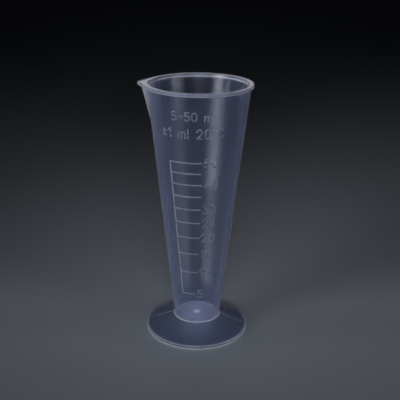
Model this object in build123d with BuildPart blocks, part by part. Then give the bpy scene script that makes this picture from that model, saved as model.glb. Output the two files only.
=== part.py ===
from build123d import *

import os
from math import cos, degrees, pi, radians, sin, sqrt

# Conical 50 ml measure with a foot and a pouring spout, moulded in natural polypropylene.
#
# Frame: millimetres, +Z up, origin on the cup's axis at the level the foot stands on.
# The spout points along -X and the raised scale faces -Y. Angles of the raised marks are
# degrees round from the front, -Y, positive towards +X.

# Overall sizes
total_height = 117.0
wall = 1.0

# Foot: a low hollow cone that ends in a thicker upright edge
foot_radius = 23.7
foot_edge_height = 1.7
foot_edge_width = 1.4
foot_shell_drop = 1.3
foot_edge_round = 0.4
foot_base_round = 0.2

# Cup: a straight cone that stands on the foot's crown
neck_radius = 10.48
neck_height = 6.74
wall_slope = 0.1105
floor_top = 7.0
floor_flat_radius = 8.75

# Level that the scale's volumes are reckoned from: its lines stand this little bit high,
# so the cup holds about 0.2 ml more than they say, well inside their tolerance of 1 ml
scale_zero = 7.65

# Gate mark left in the middle of the floor
gate_radius = 1.75
gate_height = 0.2
gate_round = 0.12

# Rim flange
flange_radius = 23.68
flange_height = 1.45
flange_top_round = 0.3
flange_under_round = 0.4

# Pouring spout: a pointed outline, widest at the rim, that fades into the cone below.
# Half angles say how far round from the point the outline leaves the circle.
spout_half_angle = 35.0
flange_tip = 26.9
spout_tip = 25.25
spout_fade_height = 97.0
hollow_half_angle = 28.0
hollow_tip = 22.55
hollow_fade_height = 101.0

# Raised marks: strokes of one width that stand a little proud of the wall
line_width = 0.5
relief = 0.3
numeral_height = 3.8
numeral_gap = 0.85
letter_gap = 0.31
word_gap = 0.34
spine_top_x = -10.55
spine_foot_x = -5.41

# Millilitres on each graduation, and how far right of the axis its line ends
graduation_ends = {5: 0.4, 10: 1.3, 15: 1.8, 20: 2.2, 25: 2.6, 30: 2.7, 35: 2.9, 40: 3.3, 45: 2.7, 50: 3.3}
numbered = [5, 10, 15, 20, 25, 30, 40, 50]

# Inscriptions: characters, height of the base line, middle angle, letter height
inscriptions = {
    "range_inscription": ("5-50 ml", 105.4, -2.0, 3.5),
    "temperature_inscription": ("±1 ml 20°C", 97.9, -3.0, 3.9),
}

# How far cutting shapes run past what they cut
overrun = 1.0
fade_overrun = 3.0

# Worked out from the sizes above
flange_base = total_height - flange_height
foot_slope = (neck_height - foot_edge_height) / (foot_radius - neck_radius)
foot_bore = foot_radius - foot_edge_width
floor_base = neck_height + foot_slope * wall - foot_shell_drop

# Single-stroke characters on a unit height. Two points are a straight stroke,
# three points are an arc that passes through the middle one.
characters = {
    "0": [((0, 0.7), (0.28, 1), (0.56, 0.7)), ((0.56, 0.7), (0.56, 0.3)),
          ((0.56, 0.3), (0.28, 0), (0, 0.3)), ((0, 0.3), (0, 0.7))],
    "1": [((0, 0.74), (0.24, 1)), ((0.24, 1), (0.24, 0))],
    "2": [((0, 0.73), (0.28, 1), (0.56, 0.72)), ((0.56, 0.72), (0.5, 0.52), (0.36, 0.36)),
          ((0.36, 0.36), (0, 0)), ((0, 0), (0.56, 0))],
    "3": [((0.04, 0.85), (0.49, 0.77), (0.26, 0.54)), ((0.26, 0.54), (0.54, 0.27), (0.02, 0.18))],
    "4": [((0.42, 0), (0.42, 1)), ((0.42, 1), (0, 0.3)), ((0, 0.3), (0.6, 0.3))],
    "5": [((0.52, 1), (0.06, 1)), ((0.06, 1), (0.06, 0.55)), ((0.06, 0.55), (0.57, 0.31), (0, 0.15))],
    "m": [((0, 0), (0, 0.62)), ((0, 0.44), (0.19, 0.62), (0.38, 0.44)), ((0.38, 0.44), (0.38, 0)),
          ((0.38, 0.44), (0.57, 0.62), (0.76, 0.44)), ((0.76, 0.44), (0.76, 0))],
    "l": [((0, 0), (0, 1))],
    "C": [((0.56, 0.76), (0.28, 1), (0, 0.7)), ((0, 0.7), (0, 0.3)), ((0, 0.3), (0.28, 0), (0.56, 0.24))],
    "°": [((0, 0.86), (0.14, 1), (0.28, 0.86)), ((0.28, 0.86), (0.14, 0.72), (0, 0.86))],
    "±": [((0, 0.56), (0.5, 0.56)), ((0.25, 0.3), (0.25, 0.82)), ((0, 0.1), (0.5, 0.1))],
    "-": [((0, 0.45), (0.42, 0.45))],
}


def outer_radius(height):
    """Radius of the cup's outside at a height."""
    return neck_radius + wall_slope * (height - neck_height)


def inner_radius(height):
    """Radius of the cup's inside at a height."""
    return outer_radius(height) - wall


def mark_height(millilitres):
    """Height of the line for a volume: the hollow above the scale's zero is a cut cone."""
    zero_radius = inner_radius(scale_zero)
    level_radius = (zero_radius**3 + 3 * wall_slope * millilitres * 1000 / pi) ** (1 / 3)
    return scale_zero + (level_radius - zero_radius) / wall_slope


def spine_x(height):
    """Where the scale's upright line stands at a height."""
    low, high = mark_height(5), mark_height(50)
    return spine_foot_x + (spine_top_x - spine_foot_x) * (height - low) / (high - low)


def front_plane(angle, height, radius):
    """Upright plane that faces outwards at an angle round from the front."""
    outward = (sin(radians(angle)), -cos(radians(angle)), 0)
    along = (cos(radians(angle)), sin(radians(angle)), 0)
    place = (radius * outward[0], radius * outward[1], height)
    return Plane(origin=place, x_dir=along, z_dir=outward)


def pointed_outline(radius, tip, half_angle):
    """Draw a circle about the axis that runs out to a point on -X, its sides tangent to the circle."""
    upper = Vector(radius, 0).rotate(Axis.Z, 180 - half_angle)
    lower = Vector(radius, 0).rotate(Axis.Z, 180 + half_angle)
    forward = Vector(0, 1).rotate(Axis.Z, 180 - half_angle)
    backward = Vector(0, -1).rotate(Axis.Z, 180 + half_angle)
    CenterArc((0, 0), radius, 180 + half_angle, 360 - 2 * half_angle)
    TangentArc(upper, (-tip, 0), tangent=forward)
    TangentArc(lower, (-tip, 0), tangent=backward)


def save(part, label):
    """Name a finished piece and write its file."""
    part.label = label
    export_step(part, f"parts/{label}.step")


def character_width(letter):
    """Width of a character on a unit height."""
    return max(point[0] for stroke in characters[letter] for point in stroke)


def written_length(text, height):
    """Length of a written line, between the middles of its first and last strokes."""
    widths = [word_gap if letter == " " else character_width(letter) for letter in text]
    return height * (sum(widths) + letter_gap * (len(text) - 1))


def write(letter, height):
    """Draw one character in the current sketch, standing on the origin."""
    half_width = character_width(letter) / 2
    for stroke in characters[letter]:
        points = [((x - half_width) * height, y * height) for x, y in stroke]
        with BuildLine() as pen:
            if len(points) == 2:
                Line(*points)
            else:
                ThreePointArc(*points)
        trace(pen.edges(), line_width=line_width)
        with Locations(points[0], points[-1]):
            Circle(line_width / 2)


def raised_text(label, text, base, start_angle, height):
    """Make a line of text round the cup, each character flat on its own facing plane."""
    reach = outer_radius(base + height / 2)
    travel = 0
    with BuildPart() as written:
        for letter in text:
            if letter == " ":
                travel += (word_gap + letter_gap) * height
                continue
            width = character_width(letter) * height
            angle = start_angle + degrees((travel + width / 2) / reach)
            with BuildSketch(front_plane(angle, base, inner_radius(base))):
                write(letter, height)
            extrude(amount=4 * wall)
            travel += width + letter_gap * height
        add(relief_skin.part, mode=Mode.INTERSECT)
    save(written.part, label)


os.makedirs("parts", exist_ok=True)

# ---- Shapes that pieces are cut with; they aren't pieces themselves ----

# Everything inside the cone's outer face
with BuildPart() as cup_block:
    with BuildSketch(Plane.XZ):
        Polygon(
            (0, neck_height),
            (outer_radius(neck_height), neck_height),
            (outer_radius(total_height + overrun), total_height + overrun),
            (0, total_height + overrun),
            align=None,
        )
    revolve(axis=Axis.Z)

# The round hollow inside the cup
with BuildPart() as cup_hollow:
    with BuildSketch(Plane.XZ):
        Polygon(
            (0, neck_height),
            (inner_radius(neck_height), neck_height),
            (inner_radius(total_height + overrun), total_height + overrun),
            (0, total_height + overrun),
            align=None,
        )
    revolve(axis=Axis.Z)

# The pointed hollow inside the spout, which narrows faster than the cup's and so fades into it
hollow_slope = (hollow_tip - inner_radius(hollow_fade_height)) / (total_height - hollow_fade_height)
with BuildPart() as spout_hollow:
    for level in (hollow_fade_height - fade_overrun, total_height + overrun):
        tip = hollow_tip + hollow_slope * (level - total_height)
        with BuildSketch(Plane.XY.offset(level)):
            with BuildLine():
                pointed_outline(inner_radius(total_height) * tip / hollow_tip, tip, hollow_half_angle)
            make_face()
    loft(ruled=True)

# A skin as thick as the raised marks, lying on the cone's outer face
with BuildPart() as relief_skin:
    with BuildSketch(Plane.XZ):
        Polygon(
            (outer_radius(neck_height), neck_height),
            (outer_radius(neck_height) + relief, neck_height),
            (outer_radius(flange_base) + relief, flange_base),
            (outer_radius(flange_base), flange_base),
            align=None,
        )
    revolve(axis=Axis.Z)

# ---- Foot ----

foot_bore_top = foot_edge_height + foot_slope * foot_edge_width

with BuildPart() as foot_edge:
    with BuildSketch(Plane.XZ) as edge_profile:
        Polygon(
            (foot_bore, 0), (foot_radius, 0), (foot_radius, foot_edge_height), (foot_bore, foot_bore_top),
            align=None,
        )
        outside = edge_profile.vertices().group_by(Axis.X)[-1].sort_by(Axis.Y)
        fillet(outside[-1], foot_edge_round)
        outside = edge_profile.vertices().group_by(Axis.X)[-1].sort_by(Axis.Y)
        fillet(outside[0], foot_base_round)
    revolve(axis=Axis.Z)
save(foot_edge.part, "foot_edge")

with BuildPart() as foot_cone:
    with BuildSketch(Plane.XZ):
        Polygon(
            (inner_radius(neck_height), floor_base),
            (inner_radius(neck_height), neck_height),
            (neck_radius, neck_height),
            (foot_bore, foot_bore_top),
            (foot_bore, foot_bore_top - foot_shell_drop),
            align=None,
        )
    revolve(axis=Axis.Z)
save(foot_cone.part, "foot_cone")

# ---- Cup ----

# The floor closes the cone and runs up its wall in a blend
blend_length = inner_radius(floor_top) - floor_flat_radius
blend_top = floor_top + blend_length / sqrt(1 + wall_slope**2)

with BuildPart() as cup_floor:
    with BuildSketch(Plane.XZ):
        with BuildLine():
            outline = Polyline(
                (floor_flat_radius, floor_top),
                (0, floor_top),
                (0, floor_base),
                (inner_radius(neck_height), floor_base),
                (inner_radius(neck_height), neck_height),
                (inner_radius(blend_top), blend_top),
            )
            TangentArc(outline @ 0, outline @ 1, tangent=(1, 0))
        make_face()
    revolve(axis=Axis.Z)
save(cup_floor.part, "cup_floor")

with BuildPart() as gate_mark:
    with BuildSketch(Plane.XY.offset(floor_top)):
        Circle(gate_radius)
    extrude(amount=gate_height)
    fillet(gate_mark.edges().group_by(Axis.Z)[-1], gate_round)
save(gate_mark.part, "gate_mark")

with BuildPart() as cone_wall:
    with BuildSketch(Plane.XZ):
        Polygon(
            (inner_radius(neck_height), neck_height),
            (neck_radius, neck_height),
            (outer_radius(flange_base), flange_base),
            (inner_radius(flange_base), flange_base),
            align=None,
        )
    revolve(axis=Axis.Z)
    add(spout_hollow.part, mode=Mode.SUBTRACT)
save(cone_wall.part, "cone_wall")

# ---- Spout and rim ----

# The spout's ridge leans out more than the cone does, so its outline fades into the cone
ridge_slope = (spout_tip - outer_radius(spout_fade_height)) / (flange_base - spout_fade_height)
with BuildPart() as pouring_spout:
    for level in (spout_fade_height - fade_overrun, flange_base):
        tip = spout_tip + ridge_slope * (level - flange_base)
        with BuildSketch(Plane.XY.offset(level)):
            with BuildLine():
                pointed_outline(outer_radius(flange_base) * tip / spout_tip, tip, spout_half_angle)
            make_face()
    loft(ruled=True)
    add(cup_block.part, mode=Mode.SUBTRACT)
    add(spout_hollow.part, mode=Mode.SUBTRACT)
save(pouring_spout.part, "pouring_spout")

with BuildPart() as rim_flange:
    with BuildSketch(Plane.XY.offset(flange_base)):
        with BuildLine():
            pointed_outline(flange_radius, flange_tip, spout_half_angle)
        make_face()
    extrude(amount=flange_height)
    fillet(rim_flange.edges().group_by(Axis.Z)[-1], flange_top_round)
    fillet(rim_flange.edges().group_by(Axis.Z)[0], flange_under_round)
    add(cup_hollow.part, mode=Mode.SUBTRACT)
    add(spout_hollow.part, mode=Mode.SUBTRACT)
save(rim_flange.part, "rim_flange")

# ---- Raised scale: drawn on the XZ plane and pushed forwards onto the cone ----

spine_low = mark_height(5) - line_width / 2
spine_high = mark_height(50) + line_width / 2

with BuildPart() as scale_spine:
    with BuildSketch(Plane.XZ):
        with BuildLine() as spine_line:
            Line((spine_x(spine_low), spine_low), (spine_x(spine_high), spine_high))
        trace(spine_line.edges(), line_width=line_width)
    extrude(amount=flange_radius)
    add(relief_skin.part, mode=Mode.INTERSECT)
save(scale_spine.part, "scale_spine")

with BuildPart() as graduation_lines:
    with BuildSketch(Plane.XZ):
        for millilitres, right_end in graduation_ends.items():
            level = mark_height(millilitres)
            left_end = spine_x(level)
            with Locations(((left_end + right_end) / 2, level)):
                Rectangle(right_end - left_end, line_width)
    extrude(amount=flange_radius)
    add(relief_skin.part, mode=Mode.INTERSECT)
    add(scale_spine.part, mode=Mode.SUBTRACT)
save(graduation_lines.part, "graduation_lines")

# ---- Raised numerals and inscriptions ----

for millilitres in numbered:
    level = mark_height(millilitres)
    start_angle = degrees((graduation_ends[millilitres] + numeral_gap) / outer_radius(level))
    base = level - numeral_height / 2
    raised_text(f"numeral_{millilitres}", str(millilitres), base, start_angle, numeral_height)

for label, (text, base, middle_angle, height) in inscriptions.items():
    half_turn = degrees(written_length(text, height) / 2 / outer_radius(base + height / 2))
    raised_text(label, text, base, middle_angle - half_turn, height)
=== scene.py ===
import math

import bpy
from mathutils import Matrix, Vector


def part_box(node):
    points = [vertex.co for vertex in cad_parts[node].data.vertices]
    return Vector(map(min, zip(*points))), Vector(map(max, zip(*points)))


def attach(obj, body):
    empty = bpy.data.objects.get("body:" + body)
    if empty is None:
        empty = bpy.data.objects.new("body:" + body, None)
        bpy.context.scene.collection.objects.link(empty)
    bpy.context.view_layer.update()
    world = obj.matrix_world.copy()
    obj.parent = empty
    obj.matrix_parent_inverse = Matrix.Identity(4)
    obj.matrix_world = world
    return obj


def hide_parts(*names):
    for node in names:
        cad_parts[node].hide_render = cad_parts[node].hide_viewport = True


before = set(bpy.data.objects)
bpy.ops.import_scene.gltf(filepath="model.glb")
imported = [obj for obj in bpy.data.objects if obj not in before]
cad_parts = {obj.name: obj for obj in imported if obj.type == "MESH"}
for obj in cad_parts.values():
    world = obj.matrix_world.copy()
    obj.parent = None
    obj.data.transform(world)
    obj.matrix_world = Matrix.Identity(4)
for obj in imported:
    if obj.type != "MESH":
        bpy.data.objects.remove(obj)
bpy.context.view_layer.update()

# The moulding's sizes are in millimetres, and its mesh is scaled to metres when it is made.
mm = 0.001


def node_box(name):
    """Lowest and highest corner of a CAD node, in millimetres."""
    low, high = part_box(name)
    return [value / mm for value in low], [value / mm for value in high]


# Sizes read from the CAD
foot_radius = node_box("foot_edge")[1][0]
floor_base = node_box("cup_floor")[0][2]
neck_height = node_box("cone_wall")[0][2]
gate_low, gate_high = node_box("gate_mark")
floor_top, gate_top, gate_radius = gate_low[2], gate_high[2], gate_high[0]
flange_low, flange_high = node_box("rim_flange")
flange_base, total_height = flange_low[2], flange_high[2]
flange_radius, flange_tip = flange_high[0], -flange_low[0]
spout_tip = -node_box("pouring_spout")[0][0]
cone_top_radius = node_box("cone_wall")[1][0]

# Sizes that the boxes don't give, as in the CAD
wall = 1.0
neck_radius = 10.48
foot_edge_height = 1.7
foot_edge_width = 1.4
foot_shell_drop = 1.3
spout_half_angle = 35.0
spout_fade_height = 97.0
hollow_half_angle = 28.0
hollow_tip = 22.55
hollow_fade_height = 101.0

cone_slope = (cone_top_radius - neck_radius) / (flange_base - neck_height)
foot_slope = (neck_height - foot_edge_height) / (foot_radius - neck_radius)
foot_bore = foot_radius - foot_edge_width
inner_top_radius = neck_radius + cone_slope * (total_height - neck_height) - wall
ridge_slope = (
    spout_tip - neck_radius - cone_slope * (spout_fade_height - neck_height)
) / (flange_base - spout_fade_height)
hollow_slope = (
    hollow_tip - neck_radius - cone_slope * (hollow_fade_height - neck_height) + wall
) / (total_height - hollow_fade_height)

# How softly the spout's outline runs out at its point, and into the cone, and how far below its fade that reaches
point_softness = math.radians(0.9)
blend_softness = 0.12
fade_overrun = 3
spout_start = spout_fade_height - fade_overrun
hollow_start = hollow_fade_height - fade_overrun

# Roundings of the rim's underside, top edge, inner edge and the corner where the wall meets it
rim_under_round = 0.4
rim_top_round = 0.3
rim_inner_round = 0.2
rim_fillet = 0.25

# Rounding where the cup's wall meets its floor
cup_floor_round = 0.9

# Parting lines: half width, how proud they stand on the foot and on the wall, and how far out they run on the foot
parting_half_width = math.radians(0.8)
foot_ridge = 0.2
wall_ridge = 0.03
foot_ridge_reach = 18


# ---- Moulding: one closed skin built from rings of points round the axis ----


def pointed_outline(radius, tip, half_angle, turn):
    """Radius at an angle round from the spout: a circle that runs out to a point."""
    half = math.radians(half_angle)
    turn = math.sqrt(turn * turn + point_softness**2)
    if turn >= half:
        return radius
    side = (tip * tip - 2 * tip * radius * math.cos(half) + radius * radius) / (2 * (radius - tip * math.cos(half)))
    centre = Vector(((radius - side) * math.cos(half), (radius - side) * math.sin(half)))
    along = centre.x * math.cos(turn) + centre.y * math.sin(turn)
    return along + math.sqrt(side * side - centre.length_squared + along * along)


def soft_larger(a, b):
    """The larger of two lengths, blended where they are nearly equal."""
    gap = max(blend_softness - abs(a - b), 0) / blend_softness
    return max(a, b) + gap * gap * blend_softness / 4


def outer_wall(turn, height):
    cone = neck_radius + cone_slope * (height - neck_height)
    tip = spout_tip + ridge_slope * (height - flange_base)
    scale = tip / spout_tip
    spout = scale * pointed_outline(cone_top_radius, spout_tip, spout_half_angle, turn)
    return soft_larger(cone, spout) if height > spout_start else cone


def inner_wall(turn, height):
    cone = neck_radius + cone_slope * (height - neck_height) - wall
    tip = hollow_tip + hollow_slope * (height - total_height)
    scale = tip / hollow_tip
    spout = scale * pointed_outline(inner_top_radius, hollow_tip, hollow_half_angle, turn)
    return soft_larger(cone, spout) if height > hollow_start else cone


def flange_edge(turn, height):
    return pointed_outline(flange_radius, flange_tip, spout_half_angle, turn)


def axis(turn, height):
    return 0.0


def steps(low, high, count):
    return [low + (high - low) * i / count for i in range(count + 1)]


def rounded(corners, segments=4):
    """Profile through (radius, height, rounding) corners, each rounded by an arc, as (radius, height) points."""
    path = [corners[0][:2]]
    for before, corner, after in zip(corners, corners[1:], corners[2:]):
        here = Vector(corner[:2])
        back = (Vector(before[:2]) - here).normalized()
        on = (Vector(after[:2]) - here).normalized()
        half = back.angle(on) / 2
        reach = corner[2] / math.tan(half)
        middle = here + (back + on).normalized() * corner[2] / math.sin(half)
        start = here + back * reach - middle
        sweep = (math.pi - 2 * half) * (1 if back.cross(on) < 0 else -1)
        path += [tuple(middle + Matrix.Rotation(sweep * s / segments, 2) @ start) for s in range(segments + 1)]
    return path + [corners[-1][:2]]


def divided(path, gap=0.2, longest=0.8):
    """Divides every long run, with a point near each end so that smooth shading stays in the corners."""
    out = [path[0]]
    for a, b in zip(path, path[1:]):
        a, b = Vector(a), Vector(b)
        length = (b - a).length
        if length > 3 * gap:
            middle = length - 2 * gap
            count = math.ceil(middle / longest)
            out += [tuple(a + (b - a) * (gap + middle * i / count) / length) for i in range(count + 1)]
        out.append(tuple(b))
    return out


def moulding_rings():
    """(outline, radius added to it, height) for each ring, from under the floor out, up and back in to the gate."""
    shell_low = foot_edge_height + foot_slope * foot_edge_width - foot_shell_drop
    foot = rounded([
        (3, floor_base, 0),
        (neck_radius - wall, floor_base, 1.2),
        (foot_bore, shell_low, 0.25),
        (foot_bore, 0, 0.15),
        (foot_radius, 0, 0.2),
        (foot_radius, foot_edge_height, 0.5),
        (neck_radius, neck_height, 0.35),
        (neck_radius + cone_slope * 3, neck_height + 3, 0),
    ])
    rings = [(axis, radius, height) for radius, height in divided(foot)]
    rings += [(outer_wall, 0, z) for z in steps(neck_height + 5, spout_start, 14)]
    rings += [(outer_wall, 0, z) for z in steps(spout_start + 1, flange_base - rim_fillet, 30)]
    quarter = steps(0, math.pi / 2, 4)
    rings += [(outer_wall, rim_fillet * (1 - math.cos(a)), flange_base - rim_fillet * (1 - math.sin(a)))
              for a in quarter]
    rings += [(flange_edge, rim_under_round * (math.sin(a) - 1), flange_base + rim_under_round * (1 - math.cos(a)))
              for a in quarter]
    rings += [(flange_edge, 0, flange_base + 0.6)]
    rings += [(flange_edge, rim_top_round * (math.cos(a) - 1), total_height - rim_top_round * (1 - math.sin(a)))
              for a in quarter]
    rings += [(inner_wall, rim_inner_round * (1 - math.sin(a)), total_height - rim_inner_round * (1 - math.cos(a)))
              for a in quarter]
    rings += [(inner_wall, 0, z) for z in steps(total_height - 0.5, total_height - 2.1, 4)]
    rings += [(inner_wall, 0, z) for z in steps(total_height - 3, hollow_start, 26)]
    rings += [(inner_wall, 0, z) for z in steps(hollow_start - 2, floor_top + 5, 14)]
    reach = neck_radius + cone_slope * (floor_top - neck_height) - wall
    cup = rounded([
        (reach + cone_slope * 4, floor_top + 4, 0),
        (reach, floor_top, cup_floor_round),
        (gate_radius, floor_top, 0.06),
        (gate_radius, gate_top, 0.12),
        (0.6, gate_top, 0),
    ])
    rings += [(axis, radius, height) for radius, height in divided(cup)]
    return rings


def turns():
    """Angles round from the spout: even steps, with close ones at the two parting lines."""
    close = [0.35, 0.8, 1.4]
    even = [1.5 * i for i in range(2, 119)]
    half = close + even + [180 - c for c in reversed(close)]
    return [math.radians(a) for a in [0] + half + [180] + [-a for a in reversed(half)]]


def near(value, middle, reach):
    """1 at the middle, falling smoothly to 0 at the reach."""
    gap = min(abs(value - middle) / reach, 1)
    return (1 - gap * gap) ** 2


def parting_ridge(turn):
    """How much of the fine line between the mould's halves there is at an angle round from the spout."""
    return near(min(abs(turn), math.pi - abs(turn)), 0, parting_half_width)


def depth_haze_and_painted_glow(outline, turn, radius, height):
    """Haze painted onto the moulding here, from 0 on the plain wall to 1: partly the real milkiness of deep plastic,
    and partly painted glow that stands in for light caught in the foot's edges, the neck, the cup floor, the gate, the
    rim and the spout.
    """
    foot = 0.04 if height < neck_height and radius > neck_radius - 1 else 0
    walls = 0.04 * (height / total_height) ** 2 if height > neck_height else 0
    # Painted glow: the foot's bottom corner, its top edge and its ring are hazed to stand in for light that the
    # plastic carries out at these edges.
    edge_foot = near(height, 0, 1.6) if radius > foot_bore + 0.3 else 0
    edge_top = 0.75 * near(math.hypot(radius - foot_radius + 0.2, height - foot_edge_height), 0, 0.7)
    edge_ring = 0.35 * near(radius, foot_radius, 1.6) if height > foot_edge_height - 0.2 else 0
    # Painted highlight: a bright line where the neck meets the foot.
    neck = near(math.hypot(radius - neck_radius - 0.05, height - neck_height), 0, 0.7)
    # Cup floor, its rounding into the wall and the gate mark: partly thicker plastic and partly painted glow, as
    # though lit from below; the wall also gets more haze low down, near the neck.
    floor = 0.3 if radius < neck_radius - wall and height < floor_top + 0.1 else 0
    blend = near(math.hypot(radius - neck_radius + wall + 0.2, height - floor_top - 0.25), 0, 0.6)
    low_wall = 0.1 * near(height, neck_height, 16) if height > neck_height else 0
    gate = 1 if radius < gate_radius + 0.1 and height > floor_top + 0.05 else 0
    on_rim = height > flange_base - 0.05
    inside = radius < inner_top_radius + 0.3 and abs(turn) > math.radians(hollow_half_angle)
    # Haze along the rim, partly its thick plastic and partly painted glow on the flange's underside and on the inner
    # wall level with it.
    rim = 0.2 if on_rim else 0
    rim_foot = 0.8 * near(height, flange_base, 0.5) if on_rim else 0
    rim_inside = 0.9 * near(height, flange_base + 0.2, 0.65) if inside else 0
    # Painted glow up the spout and its hollow, weaker on the rim's top.
    up_spout = min(max((height - spout_fade_height) / (flange_base - spout_fade_height), 0), 1)
    hollow = 0.25 * up_spout * near(turn, 0, math.radians(14)) if outline is inner_wall else 0
    spout = 0.45 * up_spout * near(turn, 0, math.radians(36)) + 0.8 * up_spout**0.5 * near(turn, 0, math.radians(8))
    spout *= 0.3 if height > total_height - 0.5 else 1
    on_the_foot = max(foot, edge_foot, edge_top, edge_ring, neck)
    in_the_cup = max(walls, floor, blend, low_wall, gate)
    at_the_rim = max(rim, rim_foot, rim_inside, hollow, spout)
    return min(max(on_the_foot, in_the_cup, at_the_rim), 1)


def make_moulding():
    rings, columns = moulding_rings(), turns()
    vertices, faces, haze_and_glow_values = [], [], []
    for outline, extra, height in rings:
        for turn in columns:
            radius = outline(turn, height) + extra
            foot_top = neck_height - foot_slope * (radius - neck_radius)
            on_foot = neck_radius + 0.3 < radius < foot_bore and abs(height - foot_top) < 0.2
            on_wall = outline is outer_wall and height < flange_base - 1
            ridge = parting_ridge(turn)
            # The parting ridges on the foot also get haze, a painted highlight along them.
            on_foot_ridge = ridge * near(radius, neck_radius, foot_ridge_reach) if on_foot else 0
            haze_and_glow_values.append(min(depth_haze_and_painted_glow(outline, turn, radius, height) + on_foot_ridge, 1))
            height_here = height + foot_ridge * on_foot_ridge
            if on_wall:
                radius += wall_ridge * ridge
            vertices.append((-radius * mm * math.cos(turn), -radius * mm * math.sin(turn), height_here * mm))
    count = len(columns)
    for ring in range(len(rings) - 1):
        for i in range(count):
            a, b = ring * count + i, ring * count + (i + 1) % count
            faces.append((a, b, b + count, a + count))
    last = (len(rings) - 1) * count
    vertices += [(0, 0, rings[0][2] * mm), (0, 0, rings[-1][2] * mm)]
    haze_and_glow_values += [depth_haze_and_painted_glow(axis, 0, 0, rings[0][2]), depth_haze_and_painted_glow(axis, 0, 0, rings[-1][2])]
    for i in range(count):
        faces.append((len(vertices) - 2, (i + 1) % count, i))
        faces.append((len(vertices) - 1, last + i, last + (i + 1) % count))
    mesh = bpy.data.meshes.new("moulded_measure")
    mesh.from_pydata(vertices, [], faces)
    # The haze, with its painted glow, goes to the material as a mesh attribute.
    mesh.attributes.new("depth_haze_and_painted_glow", "FLOAT", "POINT").data.foreach_set("value", haze_and_glow_values)
    mesh.shade_smooth()
    mesh.set_sharp_from_angle(angle=math.radians(40))
    moulding = bpy.data.objects.new("moulded_measure", mesh)
    bpy.context.scene.collection.objects.link(moulding)
    return moulding


# ---- Materials ----


def new_material(name):
    material = bpy.data.materials.new(name)
    material.use_nodes = True
    tree = material.node_tree
    tree.nodes.clear()
    return material, tree


def add(tree, kind, sockets=(), **settings):
    """Adds a node, with the values of its sockets as (name or number, value) pairs."""
    node = tree.nodes.new(kind)
    for key, value in settings.items():
        setattr(node, key, value)
    for socket, value in sockets:
        node.inputs[socket].default_value = value
    return node


def noise(tree, place, scale, detail, low, high, stretch=(1, 1, 1)):
    """Noise over the surface, as a value from low to high."""
    mapping = add(tree, "ShaderNodeMapping", [("Scale", stretch)])
    tree.links.new(place, mapping.inputs["Vector"])
    texture = add(tree, "ShaderNodeTexNoise", [("Scale", scale), ("Detail", detail)])
    tree.links.new(mapping.outputs[0], texture.inputs["Vector"])
    spread = add(tree, "ShaderNodeMapRange", [("From Min", 0.3), ("From Max", 0.7), ("To Min", low), ("To Max", high)])
    tree.links.new(texture.outputs["Fac"], spread.inputs["Value"])
    return spread.outputs[0]


def maths(tree, operation, a, b):
    node = add(tree, "ShaderNodeMath", operation=operation)
    for into, value in zip(node.inputs, (a, b)):
        if isinstance(value, (int, float)):
            into.default_value = value
        else:
            tree.links.new(value, into)
    return node.outputs[0]


def polypropylene(name, thin_colour, deep_and_glow_colour, milk, edge_milk, roughness):
    """Clear plastic with a little milky haze, which thickens and whitens where it is seen edge on, and where the
    mesh's attribute asks for it: for deep plastic, and as painted glow on edges, the neck, the gate and the rim.
    """
    material, tree = new_material(name)
    link = tree.links.new
    place = add(tree, "ShaderNodeTexCoord").outputs["Object"]

    skin = noise(tree, place, 900, 2, 0, 1)
    draw = noise(tree, place, 260, 3, 0, 1, (1, 1, 0.08))
    relief = maths(tree, "ADD", skin, draw)
    bump = add(tree, "ShaderNodeBump", [("Strength", 0.12), ("Distance", 0.00003)])
    link(relief, bump.inputs["Height"])
    gloss = noise(tree, place, 320, 3, roughness * 0.8, roughness * 1.25)

    clear = [("Base Color", (0.87, 0.91, 1.0, 1)), ("IOR", 1.42), ("Transmission Weight", 1.0)]
    glass = add(tree, "ShaderNodeBsdfPrincipled", clear)
    front = add(tree, "ShaderNodeBsdfPrincipled")
    behind = add(tree, "ShaderNodeBsdfTranslucent")
    for shader in (glass, front):
        link(gloss, shader.inputs["Roughness"])
        link(bump.outputs[0], shader.inputs["Normal"])
    haze = add(tree, "ShaderNodeMixShader")
    # Where the attribute is high, the haze scatters more to the front, which brightens the painted glow.
    through = add(tree, "ShaderNodeMapRange", [("To Min", 0.5), ("To Max", 0.15)])
    # The mesh attribute of haze: deep plastic and painted glow.
    depth_and_glow_attribute = add(tree, "ShaderNodeAttribute", attribute_name="depth_haze_and_painted_glow").outputs["Fac"]
    depth_and_glow = maths(tree, "MULTIPLY", depth_and_glow_attribute, noise(tree, place, 1500, 2, 0.75, 1.25))
    link(depth_and_glow, through.inputs["Value"])
    link(through.outputs[0], haze.inputs[0])
    link(front.outputs[0], haze.inputs[1])
    link(behind.outputs[0], haze.inputs[2])

    facing = add(tree, "ShaderNodeLayerWeight", [("Blend", 0.3)])
    grazing = maths(tree, "POWER", facing.outputs["Facing"], 1.5)
    edge = maths(tree, "MULTIPLY", grazing, edge_milk)
    clouds = noise(tree, place, 140, 4, 0.8, 1.2, (1, 1, 0.4))
    even = maths(tree, "ADD", maths(tree, "ADD", edge, depth_and_glow), milk)
    amount = maths(tree, "MINIMUM", maths(tree, "MULTIPLY", even, clouds), 0.96)
    # The tint goes whiter seen edge on and where the attribute is high, for deep plastic and painted glow alike.
    paleness = maths(tree, "ADD", grazing, depth_and_glow)
    tint = add(tree, "ShaderNodeMix", [(6, (*thin_colour, 1)), (7, (*deep_and_glow_colour, 1))], data_type="RGBA")
    link(paleness, tint.inputs[0])
    link(tint.outputs[2], front.inputs["Base Color"])
    link(tint.outputs[2], behind.inputs["Color"])

    solid = add(tree, "ShaderNodeMixShader")
    link(amount, solid.inputs[0])
    link(glass.outputs[0], solid.inputs[1])
    link(haze.outputs[0], solid.inputs[2])
    output = add(tree, "ShaderNodeOutputMaterial")
    link(solid.outputs[0], output.inputs["Surface"])
    return material


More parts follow.
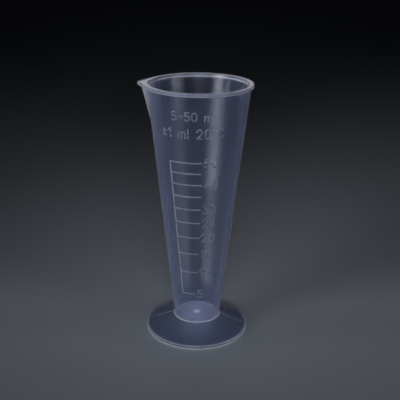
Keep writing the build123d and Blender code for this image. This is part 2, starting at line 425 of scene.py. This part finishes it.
def dress(piece, material):
    piece.data.materials.clear()
    piece.data.materials.append(material)


# ---- Camera, lights and floor, in metres and degrees ----

camera_distance = 0.3208
camera_height = 0.18178
camera_azimuth = 5.0
camera_turn = 0.1675
camera_pitch = 20.238
camera_roll = 0.6547
camera_lens = 68.03


def add_camera():
    place = math.radians(camera_azimuth)
    turn = math.radians(camera_turn - camera_azimuth)
    pitch = math.radians(camera_pitch)
    roll = math.radians(camera_roll)
    forward = Vector((math.sin(turn) * math.cos(pitch), math.cos(turn) * math.cos(pitch), -math.sin(pitch)))
    level = Vector((math.cos(turn), -math.sin(turn), 0))
    upright = level.cross(forward)
    right = math.cos(roll) * level + math.sin(roll) * upright
    up = math.cos(roll) * upright - math.sin(roll) * level
    data = bpy.data.cameras.new("camera")
    data.lens = camera_lens
    data.sensor_width = 36
    camera = bpy.data.objects.new("camera", data)
    matrix = Matrix((right, up, -forward)).transposed().to_4x4()
    matrix.translation = (camera_distance * math.sin(place), -camera_distance * math.cos(place), camera_height)
    camera.matrix_world = matrix
    bpy.context.scene.collection.objects.link(camera)
    bpy.context.scene.camera = camera


def add_light(name, width, tall, power):
    """Rectangular light that the camera doesn't see directly."""
    data = bpy.data.lights.new(name, "AREA")
    data.shape = "RECTANGLE"
    data.size = width
    data.size_y = tall
    data.energy = power
    light = bpy.data.objects.new(name, data)
    light.visible_camera = False
    bpy.context.scene.collection.objects.link(light)
    return light


def add_softbox(name, azimuth, distance, height, aim_height, width, tall, power, colour, spread):
    """Soft light at an azimuth round from the front, positive to the right, aimed at the axis."""
    angle = math.radians(azimuth)
    place = Vector((distance * math.sin(angle), -distance * math.cos(angle), height))
    light = add_light(name, width, tall, power)
    light.data.color = colour
    light.data.spread = math.radians(spread)
    light.location = place
    light.rotation_euler = (Vector((0, 0, aim_height)) - place).to_track_quat("-Z", "Y").to_euler()


def add_strip(name, foot, head, width, power):
    """Dim strip light between two points, each given as right of the axis, behind it and up, facing the camera."""
    heading = math.radians(-camera_azimuth)
    back = Vector((math.sin(heading), math.cos(heading), 0))
    side = Vector((back.y, -back.x, 0))
    low, high = (side * right + back * behind + Vector((0, 0, height)) for right, behind, height in (foot, head))
    light = add_light(name, width, (high - low).length, power)
    upright = (high - low).normalized()
    right = upright.cross(back).normalized()
    matrix = Matrix((right, upright, right.cross(upright))).transposed().to_4x4()
    matrix.translation = (low + high) / 2
    light.matrix_world = matrix


def add_floor(radius):
    bpy.ops.mesh.primitive_circle_add(vertices=128, radius=radius, fill_type="NGON", location=(0, 0, -0.0002))
    floor = bpy.context.object
    floor.name = "floor"
    material, tree = new_material("plain_pale_floor")
    output = add(tree, "ShaderNodeOutputMaterial")
    body = add(tree, "ShaderNodeBsdfPrincipled", [("Base Color", (0.56, 0.61, 0.70, 1)), ("Roughness", 0.8)])
    tree.links.new(body.outputs[0], output.inputs["Surface"])
    dress(floor, material)


def add_world(colour, strength):
    world = bpy.data.worlds.new("dark_studio")
    bpy.context.scene.world = world
    world.use_nodes = True
    background = world.node_tree.nodes["Background"]
    background.inputs["Color"].default_value = (*colour, 1)
    background.inputs["Strength"].default_value = strength


bpy.context.scene.view_settings.view_transform = "Standard"
add_camera()

moulding = make_moulding()
# The second colour is the whiter tint of deep plastic and of the painted glow.
shell = polypropylene("natural_polypropylene", (0.40, 0.48, 0.88), (0.95, 0.97, 1.0), 0.04, 0.95, 0.13)
dress(moulding, shell)
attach(moulding, "root")
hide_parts("cone_wall", "cup_floor", "gate_mark", "rim_flange", "pouring_spout", "foot_cone", "foot_edge")

marks = polypropylene("raised_marks_plastic", (0.72, 0.77, 0.95), (0.9, 0.93, 1.0), 0.34, 0.6, 0.3)
lines = polypropylene("graduation_plastic", (0.72, 0.77, 0.95), (0.9, 0.93, 1.0), 0.6, 0.6, 0.3)
replaced = {"cone_wall", "cup_floor", "gate_mark", "rim_flange", "pouring_spout", "foot_cone", "foot_edge"}
for name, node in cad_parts.items():
    if name not in replaced:
        dress(node, lines if name in ("graduation_lines", "scale_spine") else marks)

# Softboxes: azimuth in degrees, distance, height, height aimed at, width, how tall, watts, colour, spread in degrees
add_softbox("left_softbox", camera_azimuth - 53, 0.42, 0.175, 0.15, 0.30, 0.15, 0.092, (0.97, 0.97, 1), 46)
add_softbox("right_softbox", camera_azimuth + 56, 0.42, 0.175, 0.15, 0.34, 0.15, 0.037, (0.95, 0.97, 1), 46)
add_softbox("rim_softbox", camera_azimuth + 180, 0.6, 0.28, 0.117, 0.5, 0.12, 0.009, (0.97, 0.98, 1), 30)
add_softbox("front_softbox", camera_azimuth, 0.5, 0.2, 0.03, 0.3, 0.12, 0.040, (1, 1, 1), 40)
add_softbox("left_foot_light", camera_azimuth - 90, 0.42, 0.062, 0, 0.08, 0.01, 0.0026, (0.97, 0.98, 1), 22)
add_softbox("right_foot_light", camera_azimuth + 90, 0.42, 0.062, 0, 0.08, 0.01, 0.0024, (0.97, 0.98, 1), 22)
# Strips: foot, head, width, watts
add_strip("right_strip_low", (0.0060, 0.040, 0.0013), (0.0095, 0.092, 0.0376), 0.006, 0.00012)
add_strip("right_strip_high", (0.0095, 0.092, 0.0376), (0.0133, 0.150, 0.0780), 0.006, 0.00036)
add_strip("left_strip", (-0.0080, 0.040, 0.0012), (-0.0158, 0.150, 0.0780), 0.008, 0.00020)
add_softbox("cup_light", 0, 0, 0.6, 0, 0.01, 0.01, 0.00044, (1, 1, 1), 3.2)
add_floor(3)
add_world((0.5, 0.55, 0.7), 0.004)
